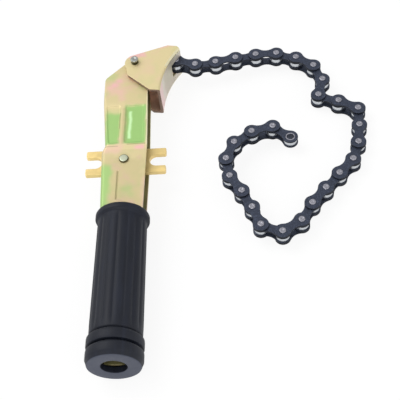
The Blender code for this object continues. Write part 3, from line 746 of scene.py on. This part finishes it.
class WRENCH_OT_jaw(bpy.types.Operator):
    """Models the folded jaw with its curved face"""

    bl_idname = "wrench.jaw"
    bl_label = "Jaw"

    def execute(self, context):
        sheet = context.scene.wrench_sheet
        outside = film("chromated jaw steel", sheet, WRENCH, JAW_PATCHES, cloudy=0.15)
        rubbed = film("rubbed chromate", sheet, WRENCH, FACE_PATCHES, "grey", 0.1)
        # The jaw's inside is painted darker towards the lip as shade
        inside = inside_film("drained chromate, jaw", sheet.copper, 0.5)
        jaw = coat(plate("jaw_sheet", jaw_outline(), -JAW_HALF, JAW_HALF), outside)

        def on_fold(point):
            return abs((point.xy - FACE_CENTRE).length - FACE_RADIUS) < CLOSE * 5

        round_edges(jaw, on_fold, sheet.jaw_fold, 5)
        inside_half = JAW_HALF - sheet.thickness
        past_tip = FACE_START - math.radians(8)
        outer = arc(FACE_CENTRE, FACE_RADIUS + 3 * sheet.thickness, past_tip, SLOT_ROOT, 8)
        inner = arc(FACE_CENTRE, FACE_RADIUS - sheet.thickness, SLOT_ROOT, past_tip, 8)
        cut(
            jaw,
            coat(plate("inside", jaw_inside(sheet.thickness), -inside_half, inside_half), inside),
            coat(plate("chain_slot", outer + inner, -SLOT_HALF, SLOT_HALF), outside),
            coat(cylinder("hole", PIVOT_HOLE, -2 * JAW_HALF, 2 * JAW_HALF), outside),
        )

        def away(face):
            return abs((face.center.xy - FACE_CENTRE).length - FACE_RADIUS)

        paint_faces(jaw, rubbed, lambda face: away(face) < CLOSE and abs(face.center.z) < inside_half)
        fold_start = JAW_HALF - sheet.jaw_fold
        # Painted highlight: the fold beside the curved face, bright down to its low limit
        paint_faces(jaw, fold_highlight(sheet), lambda face: (
            away(face) < sheet.jaw_fold and fold_start < abs(face.center.z) < JAW_HALF - CLOSE / 4
            and face.center.y > FOLD_HIGHLIGHT_LOW_Y))
        # Painted shade: the sheared edges, on the cheeks' lower side and at the web's end, made dark
        face_end = arc(FACE_CENTRE, FACE_RADIUS, FACE_START, FACE_END, 1)[1]
        edges = [(JAW_HEEL - JAW_LIP).normalized(), (JAW_LIP - face_end).normalized()]
        sheared = inside_film("drained chromate, sheared edge", scaled(sheet.copper, 0.25))
        paint_faces(jaw, sheared, lambda face: (
            min(abs(face.normal.xy.dot(edge)) for edge in edges) < SQUARE_ON
            and abs(face.normal.z) < SQUARE_ON and face.center.y < 0))
        ease(jaw, sheet.edge)
        place(jaw, WRENCH, "jaw", ["jaw"])
        return {"FINISHED"}


def fork_end(hooks, side):
    """One end of the hook plate: two prongs with a round-bottomed notch between them."""
    tip = side * hooks.reach / 2
    half = (PITCH + hooks.prong) / 2
    notch = (PITCH - hooks.prong) / 2
    root = tip - side * (hooks.notch - notch)
    corner = 0.9 * MM

    def prong(across):
        return rounded([
            (Vector((0, across * half)), 0), (Vector((tip, across * half)), corner),
            (Vector((tip, across * notch)), corner), (Vector((root, across * notch)), 0),
        ], 4)[1:-1]

    quarter = side * math.pi / 2
    bottom = arc((root, 0), notch, -quarter, -quarter - math.pi, 20)
    return prong(-side) + bottom + prong(side)[::-1]


class WRENCH_OT_hook_plate(bpy.types.Operator):
    """Models the forked plate that catches the chain"""

    bl_idname = "wrench.hook_plate"
    bl_label = "Hook Plate"

    def execute(self, context):
        hooks = context.scene.wrench_hooks
        outline = [HOOK_CENTRE + point for point in fork_end(hooks, 1) + fork_end(hooks, -1)]
        half = hooks.thickness / 2
        fork = plate("hook_fork", outline, -half, half)
        cut(fork, cylinder("hole", HOOK_HOLE, -2 * half, 2 * half, HOOK_RIVET))
        ease(fork, hooks.edge, sharpest=40)
        # Thicker chromate on blanked plate: a deeper, warmer gold
        material, tree, shader = new_material("chromated plate steel", Metallic=0.45, Roughness=0.38)
        point = object_point(tree)
        clouds = add_node(tree, "TexNoise", {"Vector": point, "Scale": 1 / (7 * MM)})["Fac"]
        colour = tint(tree, hooks.gold, scaled(hooks.gold, 1.15), (clouds, 0.4, 0.65))
        connect(tree, shader, {"Base Color": colour})
        place(coat(fork, material), HANDLE, "handle", ["hook_plate"])
        return {"FINISHED"}


def rivet_steel(name, colour, low, high):
    """Rivet steel: bright with dull spots, or dark as painted shade."""
    # Small parts that tumble in a barrel: fine dull spots over a mirror base
    material, tree, shader = new_material(name, Metallic=0.9, Base_Color=colour)
    point = object_point(tree)
    dull = add_node(tree, "TexNoise", {"Vector": point, "Scale": 1 / (0.9 * MM), "Detail": 4})["Fac"]
    rough = add_node(tree, "MapRange", {"Value": dull, "To Min": low, "To Max": high})
    connect(tree, shader, {"Roughness": rough["Result"]})
    return material


# Half outlines of the two rivets from the middle up: (radius, height) in mm
PIVOT_SIDE = (
    (1.8, 11.0), (2.35, 11.0), (2.35, 11.25), (1.8, 11.4), (1.8, 12.7), (2.3, 12.95),
    (2.4, 13.15), (2.4, 13.75), (2.2, 14.1), (1.6, 14.2), (1.0, 14.15), (0.7, 13.95), (0.0, 13.9),
)
HOOK_SIDE = (
    (2.0, 8.2), (2.7, 8.2), (2.8, 8.3), (2.8, 8.75), (2.65, 8.98), (2.35, 9.08), (1.2, 9.1), (0.0, 9.1),
)

# Below these heights the rivets are painted dark as shade: the pivot rivet's neck and the hook rivet's
# rim
NECK_TOP = 12.8 * MM
HOOK_RIM_TOP = 9.06 * MM


class WRENCH_OT_fixings(bpy.types.Operator):
    """Models the two rivets and finishes the spacers, washers and bush"""

    bl_idname = "wrench.fixings"
    bl_label = "Fixings"

    def execute(self, context):
        fixings = context.scene.wrench_fixings
        grey = rivet_steel("cut rivet steel", fixings.cut, 0.25, 0.5)
        dark = rivet_steel("oiled rivet steel", fixings.oiled, 0.3, 0.5)
        pale = rivet_steel("zinc plated rivet steel", fixings.plated, 0.3, 0.5)
        hook_place = HANDLE @ Matrix.Translation((*HOOK_RIVET, 0))
        for node, side, steel, dark_top, matrix in (
            ("pivot_rivet", PIVOT_SIDE, grey, NECK_TOP, WRENCH),
            ("hook_rivet", HOOK_SIDE, pale, HOOK_RIM_TOP, hook_place),
        ):
            rivet = coat(bar(node + "_turned", side, 40), steel)
            # Painted shade: below its dark top each rivet takes the dark steel
            paint_faces(rivet, dark, lambda face: abs(face.center.z) < dark_top)
            place(rivet, matrix, "handle", [node])
        for name in ("pivot_bush", "pivot_washer_upper", "pivot_washer_lower",
                     "hook_spacer_upper", "hook_spacer_lower"):
            coat(frame["nodes"][name], grey)
        return {"FINISHED"}


def grip_profile(grip):
    """(radius, distance below the rim) round the sleeve's wall, and where the flutes start and end."""
    # All in millimetres
    full = grip.sleeve / MM
    collar = grip.collar / MM
    upper = grip.upper / MM
    lower = grip.lower / MM
    ring = 5.8
    gap = 1.3
    ring_low = full - 2.2
    ring_top = ring_low - ring
    upper_low = ring_top - gap
    upper_top = upper_low - ring
    body_low = upper_top - gap
    body_top = 5.0
    outside = [
        (collar - 1.0, 0), (collar - 0.3, 0.25), (collar, 0.9), (collar, 3.1), (collar - 0.3, 3.7),
        (collar - 0.9, 4.0), (upper + 0.25, 4.3), (upper, body_top),
    ]
    spans = 40
    for step in range(1, spans + 1):
        share = step / spans
        below = body_top + (body_low - 0.6 - body_top) * share
        outside.append((upper + (lower - upper) * share, below))
    outside.append((lower - 0.1, body_low - 0.3))
    for top, low in ((upper_top, upper_low), (ring_top, ring_low)):
        outside += [
            (lower - 0.9, top - 1.0), (lower - 0.9, top - 0.5), (collar - 0.5, top + 0.1),
            (collar - 0.1, top + 0.5), (collar, top + 1.2), (collar, low - 0.9),
            (collar - 0.3, low - 0.2),
        ]
    outside += [
        (14.6, ring_low + 0.5), (14.35, full - 0.7), (14.15, full - 0.25), (13.8, full - 0.05),
        (13.3, full),
    ]
    inside = [
        (7.4, full), (7.0, full - 0.15), (6.9, full - 0.6), (6.9, full - 3.5), (11.5, full - 3.5),
        (11.5, 0),
    ]
    return outside + inside, 5.5, body_low - 1.8


# Columns of faces round the sleeve for each flute, and how deep each is pressed, by its distance
# in columns from the middle of the groove: under 0 it stands out. The ends fade over the run-out
COLUMNS = 12
GROOVE = ((0, 1.0), (1, 0.66), (2, 0.18), (4, -0.2), (5, -0.28), (6, -0.3))
RUN_OUT = 3 * MM


class WRENCH_OT_grip(bpy.types.Operator):
    """Models the rubber grip with its flutes and rings"""

    bl_idname = "wrench.grip"
    bl_label = "Grip"

    def execute(self, context):
        grip = context.scene.wrench_grip
        profile, flute_top, flute_low = grip_profile(grip)
        wall = [(radius * MM, -below * MM) for radius, below in profile]
        sleeve = turned("grip_sleeve", wall, COLUMNS * grip.flutes)
        self.carve(sleeve, grip, flute_top * MM, flute_low * MM)
        smooth(sleeve, 50)
        seat = Matrix.Translation((AXIS_X, GRIP_RIM_Y, 0)) @ Matrix.Rotation(-math.pi / 2, 4, "X")
        place(coat(sleeve, self.rubber(grip)), HANDLE @ seat, "handle", ["grip"])
        return {"FINISHED"}

    def carve(self, sleeve, grip, top, low):
        """Presses grooves between the flutes, in two passes so that their ends fade out."""
        def from_groove(vert):
            column = round(math.atan2(vert.co.y, vert.co.x) * COLUMNS * grip.flutes / math.tau)
            return abs((column + COLUMNS // 2) % COLUMNS - COLUMNS // 2)

        edit(sleeve)
        for fade in (0, RUN_OUT):
            for away, share in GROOVE:
                select_where(sleeve, "VERT", lambda vert: (
                    vert.co.xy.length > grip.upper - MM
                    and top + fade < -vert.co.z < low - fade and from_groove(vert) == away))
                scale = 1 - grip.flute * share / 2 / grip.upper
                bpy.ops.transform.resize(value=(scale, scale, 1), center_override=(0, 0, 0))
        start()

    def rubber(self, grip):
        """Moulded rubber, satin black with a fine grain and dusty streaks."""
        # Carbon-filled rubber from a blasted mould: dark blue-grey, no mirror, soft sheen,
        # with a paler, dusty end face
        material, tree, shader = new_material(
            "moulded black rubber", Metallic=0.0, Specular_IOR_Level=0.3
        )
        point = object_point(tree, HANDLE)
        drawn_out = add_node(
            tree, "VectorMath", {0: point, 1: (1, 0.12, 1)}, operation="MULTIPLY"
        )["Vector"]
        streaks = add_node(
            tree, "TexNoise", {"Vector": drawn_out, "Scale": 1 / (3 * MM), "Detail": 3}
        )["Fac"]
        colour = tint(tree, grip.rubber, scaled(grip.rubber, 1.5), (streaks, 0.4, 0.75))
        end = GRIP_RIM_Y - grip.sleeve
        along = add_node(tree, "SeparateXYZ", {"Vector": point})["Y"]
        colour = tint(tree, colour, grip.end_face, (along, end + 0.5 * MM, end + 0.1 * MM))
        rough = add_node(tree, "MapRange", {"Value": streaks, "To Min": 0.45, "To Max": 0.65})
        grain = add_node(
            tree, "TexNoise", {"Vector": point, "Scale": 1 / (0.35 * MM), "Detail": 3}
        )["Fac"]
        bump = add_node(tree, "Bump", {"Height": grain, "Strength": 0.25, "Distance": 0.06 * MM})
        connect(tree, shader, {
            "Base Color": colour, "Roughness": rough["Result"], "Normal": bump["Normal"]})
        return material


# The chain's layers, as heights above its middle, its small roundings and a link's two pins
INNER_PLATE_Z = 1.65 * MM
OUTER_PLATE_Z = 2.85 * MM
PIN_HOLE = 2.05 * MM
PLATE_EDGE = 0.16 * MM
ROLLER_EDGE = 0.25 * MM
AT_PINS = (Matrix.Identity(4), Matrix.Translation((PITCH, 0, 0)))


def link_outline(chain):
    """A waisted link plate from one pin at the origin to the next along X."""
    half = PITCH / 2
    side = (half ** 2 + chain.waist ** 2 - chain.eye ** 2) / (2 * (chain.eye - chain.waist))
    rise = chain.waist + side
    lean = math.atan2(rise, half)
    reach = math.pi - lean
    far_end = arc((PITCH, 0), chain.eye, -reach, reach, 20)
    near_end = arc((0, 0), chain.eye, lean, 2 * math.pi - lean, 20)
    upper = arc((half, rise), side, -lean, lean - math.pi, 6)
    lower = arc((half, -rise), side, math.pi - lean, lean, 6)
    return far_end + upper[1:-1] + near_end + lower[1:-1]


class WRENCH_OT_chain(bpy.types.Operator):
    """Models the first, an outer and an inner link, and lays copies along the chain"""

    bl_idname = "wrench.chain"
    bl_label = "Chain"

    def execute(self, context):
        chain = context.scene.wrench_chain
        finishes = self.finishes(chain)
        first = self.outer_link(chain, finishes, (1,))
        outer = self.outer_link(chain, finishes, (0, 1))
        inner = self.inner_link(chain, finishes)
        pins = [Vector(joint["pos_m"]) for joint in LINKS]
        last = Matrix.Rotation(LAST_BEND, 3, AXIS) @ (pins[-1] - pins[-2])
        pins.append(pins[-1] + last)
        for index, joint in enumerate(LINKS):
            pattern = inner if index % 2 else outer
            if index == 0:
                pattern = first
            piece = copied(pattern)
            piece.name = joint["child"].replace("chain_link", "link")
            matrix = standing(pins[index], pins[index + 1] - pins[index])
            place(piece, matrix, joint["child"], [joint["child"]])
        for pattern in (first, outer, inner):
            bpy.data.objects.remove(pattern)
        return {"FINISHED"}

    def finishes(self, chain):
        """Materials of the plates, their walls, the pins and the rollers."""
        # Hot blackened steel: blue-black oxide with an oily, grainy surface
        black, tree, shader = new_material("blackened steel", Metallic=0.55)
        grain = add_node(tree, "TexNoise", {
            "Vector": object_point(tree), "Scale": 1 / (0.8 * MM), "Detail": 4, "Roughness": 0.65,
        })["Fac"]
        colour = tint(tree, chain.black, scaled(chain.black, 2.2), (grain, 0.45, 0.75))
        rough = add_node(tree, "MapRange", {"Value": grain, "To Min": 0.3, "To Max": 0.55})
        bump = add_node(tree, "Bump", {"Height": grain, "Strength": 0.2, "Distance": 0.05 * MM})
        connect(tree, shader, {
            "Base Color": colour, "Roughness": rough["Result"], "Normal": bump["Normal"]})
        # The plates' sheared walls: rougher, with a thicker oxide that hides the metal, and painted
        # near black as shade
        rim = new_material(
            "blackened sheared edge", Metallic=0.0, Roughness=0.6, Specular_IOR_Level=0.25,
            Base_Color=scaled(chain.black, 0.2),
        )[0]
        # Cut and peened pin ends: grey steel with dull spots
        steel, tree, shader = new_material("peened steel", Metallic=0.7, Roughness=0.4)
        spots = add_node(tree, "TexNoise", {
            "Vector": object_point(tree), "Scale": 1 / (0.6 * MM), "Detail": 3})["Fac"]
        colour = tint(tree, scaled(chain.steel, 0.55), chain.steel, (spots, 0.35, 0.7))
        connect(tree, shader, {"Base Color": colour})
        # Ground rollers: plain bright steel
        bright = new_material(
            "ground steel", Metallic=0.8, Roughness=0.3, Base_Color=chain.bright
        )[0]
        return black, rim, steel, bright

    def plates(self, chain, finishes, name, inner_face, holes):
        """The two plates of a link, with holes of a radius at the given pins."""
        black, rim = finishes[:2]
        upper = plate(name, link_outline(chain), inner_face, inner_face + chain.plate)
        for index, radius in holes:
            cut(upper, cylinder("hole", radius, 0, 2 * JAW_HALF, (index * PITCH, 0)))
        ease(upper, PLATE_EDGE)
        # The walls take the near-black painted shade
        paint_faces(coat(upper, black), rim, lambda face: abs(face.normal.z) < 0.5)
        return [upper, moved(copied(upper), Matrix.Rotation(math.pi, 4, "X"))]

    def join(self, name, parts):
        """Joins parts into one object of that name."""
        pick(*parts)
        bpy.ops.object.join()
        parts[0].name = name
        return parts[0]

    def outer_link(self, chain, finishes, pinned):
        """Two outer plates on their pins. An end with no pin keeps its hole."""
        steel = finishes[2]
        holes = [(index, PIN_HOLE) for index in (0, 1) if index not in pinned]
        parts = self.plates(chain, finishes, "outer_plates", OUTER_PLATE_Z, holes)
        end = chain.pin_length / 2 / MM
        radius = chain.pin / MM
        side = [
            (radius, end - 0.55), (radius + 0.08, end - 0.4), (radius - 0.05, end - 0.15),
            (radius - 0.3, end), (radius * 0.5, end), (radius * 0.35, end - 0.12), (0, end - 0.15),
        ]
        for index in pinned:
            parts.append(coat(moved(bar("pin", side, 32), AT_PINS[index]), steel))
        return self.join("outer_link", parts)

    def inner_link(self, chain, finishes):
        """Two inner plates on their bushes, with a roller round each bush."""
        black, _, steel, bright = finishes
        holes = [(index, chain.bush) for index in (0, 1)]
        parts = self.plates(chain, finishes, "inner_plates", INNER_PLATE_Z, holes)
        half = INNER_PLATE_Z - 0.04 * MM
        loose = chain.bush + 0.05 * MM
        edge = chain.roller - ROLLER_EDGE
        wall = [
            (edge, -half), (chain.roller, ROLLER_EDGE - half), (chain.roller, half - ROLLER_EDGE),
            (edge, half), (loose, half), (loose, -half),
        ]
        top = INNER_PLATE_Z + chain.plate + 0.08 * MM
        soft = ROLLER_EDGE / 2
        sleeve = [
            (chain.bush, soft - top), (chain.bush, top - soft), (chain.bush - soft, top),
            (chain.bore + soft, top), (chain.bore, top - soft), (chain.bore, soft - top),
            (chain.bore + soft, -top), (chain.bush - soft, -top),
        ]
        for index in (0, 1):
            roller = turned("roller", wall, 40)
            smooth(roller)
            parts.append(coat(moved(roller, AT_PINS[index]), bright))
            bush = coat(turned("bush", sleeve, 32), steel)
            # Painted shade: the bore's wall takes the blackened steel, so the hole looks dark
            paint_faces(bush, black, lambda face: face.center.xy.length < chain.bore + CLOSE)
            smooth(bush)
            parts.append(moved(bush, AT_PINS[index]))
        return self.join("inner_link", parts)


class WRENCH_OT_stage(bpy.types.Operator):
    """Sets the floor, the light and the camera"""

    bl_idname = "wrench.stage"
    bl_label = "Stage"

    def execute(self, context):
        stage = context.scene.wrench_stage
        self.camera(context)
        self.floor(stage)
        self.light(context, stage)
        context.scene.view_settings.view_transform = "Standard"
        return {"FINISHED"}

    def camera(self, context):
        """The photograph's view, kept in the wrench's own frame."""
        tilt = Matrix.Rotation(math.pi / 2 - CAMERA_ELEVATION, 4, "X")
        roll = Matrix.Rotation(CAMERA_ROLL, 4, "Z")
        back = Matrix.Translation((0, 0, CAMERA_DISTANCE))
        data = bpy.data.cameras.new("camera")
        data.sensor_width = SENSOR
        data.lens = FOCAL_PIXELS / IMAGE_PIXELS * SENSOR
        data.clip_start = 0.01
        camera = bpy.data.objects.new("camera", data)
        context.collection.objects.link(camera)
        camera.matrix_world = WRENCH @ Matrix.Translation(CAMERA_TARGET) @ tilt @ roll @ back
        context.scene.camera = camera

    def floor(self, stage):
        """A pale floor that keeps a faint shadow and shows white to the eye."""
        start()
        bpy.ops.mesh.primitive_plane_add(size=stage.floor)
        floor = bpy.context.active_object
        floor.name = "floor"
        material, tree, shader = new_material("pale floor", Roughness=0.9, Base_Color=stage.white)
        path = add_node(tree, "LightPath")
        seen = path["Is Camera Ray"]
        for ray in ("Is Glossy Ray", "Is Transmission Ray"):
            seen = add_node(tree, "Math", {0: seen, 1: path[ray]}, operation="MAXIMUM")[0]
        share = add_node(tree, "Math", {0: seen, 1: FLOOR_GLOW}, operation="MULTIPLY")[0]
        glow = add_node(tree, "Emission", {"Color": stage.white, "Strength": 1.0})
        mixed = add_node(tree, "MixShader", {0: share, 1: shader.outputs[0], 2: glow[0]})
        connect(tree, tree.nodes["Material Output"], {"Surface": mixed[0]})
        floor.data.materials.append(material)

    def light(self, context, stage):
        """Even surroundings, a soft main lamp, a weaker one opposite and a low one in front."""
        world = bpy.data.worlds.new("surroundings")
        context.scene.world = world
        world.use_nodes = True
        tree = world.node_tree
        seen = add_node(tree, "LightPath")["Is Camera Ray"]
        strength = add_node(tree, "MapRange", {"Value": seen, "To Min": stage.sky, "To Max": 1.0})
        connect(tree, tree.nodes["Background"], {"Color": (1, 1, 1), "Strength": strength["Result"]})
        for name, spot, power, size in (
            ("key", Vector((-0.5, 0.35, 0.9)), stage.key, 0.7),
            ("fill", Vector((0.7, -0.5, 0.6)), stage.fill, 0.9),
            ("low", Vector((-0.25, -0.8, 0.25)), stage.low, 0.4),
        ):
            data = bpy.data.lights.new(name, "AREA")
            data.energy = power
            data.size = size
            lamp = bpy.data.objects.new(name, data)
            context.collection.objects.link(lamp)
            lamp.location = spot
            lamp.rotation_euler = (-spot).to_track_quat("-Z", "Y").to_euler()


GROUPS = {
    "wrench_sheet": WRENCH_PG_sheet,
    "wrench_hooks": WRENCH_PG_hooks,
    "wrench_fixings": WRENCH_PG_fixings,
    "wrench_grip": WRENCH_PG_grip,
    "wrench_chain": WRENCH_PG_chain,
    "wrench_stage": WRENCH_PG_stage,
}

STEPS = (
    WRENCH_OT_handle,
    WRENCH_OT_jaw,
    WRENCH_OT_hook_plate,
    WRENCH_OT_fixings,
    WRENCH_OT_grip,
    WRENCH_OT_chain,
    WRENCH_OT_stage,
)


class WRENCH_PT_sidebar(bpy.types.Panel):
    """Lists the wrench's sizes, colours and steps"""

    bl_idname = "WRENCH_PT_sidebar"
    bl_label = "Chain Oil Filter Wrench"
    bl_space_type = "VIEW_3D"
    bl_region_type = "UI"
    bl_category = "Wrench"

    def draw(self, context):
        for name, group in GROUPS.items():
            box = self.layout.box()
            for field in group.__annotations__:
                box.prop(getattr(context.scene, name), field)
        for step in STEPS:
            self.layout.operator(step.bl_idname)


def register():
    for name, group in GROUPS.items():
        bpy.utils.register_class(group)
        setattr(bpy.types.Scene, name, bpy.props.PointerProperty(type=group))
    for step in STEPS:
        bpy.utils.register_class(step)
    bpy.utils.register_class(WRENCH_PT_sidebar)


def unregister():
    bpy.utils.unregister_class(WRENCH_PT_sidebar)
    for step in reversed(STEPS):
        bpy.utils.unregister_class(step)
    for name, group in reversed(GROUPS.items()):
        delattr(bpy.types.Scene, name)
        bpy.utils.unregister_class(group)


def main():
    register()
    bpy.ops.wrench.handle()
    bpy.ops.wrench.jaw()
    bpy.ops.wrench.hook_plate()
    bpy.ops.wrench.fixings()
    bpy.ops.wrench.grip()
    bpy.ops.wrench.chain()
    bpy.ops.wrench.stage()
    bpy.context.view_layer.update()


if __name__ == "__main__":
    main()
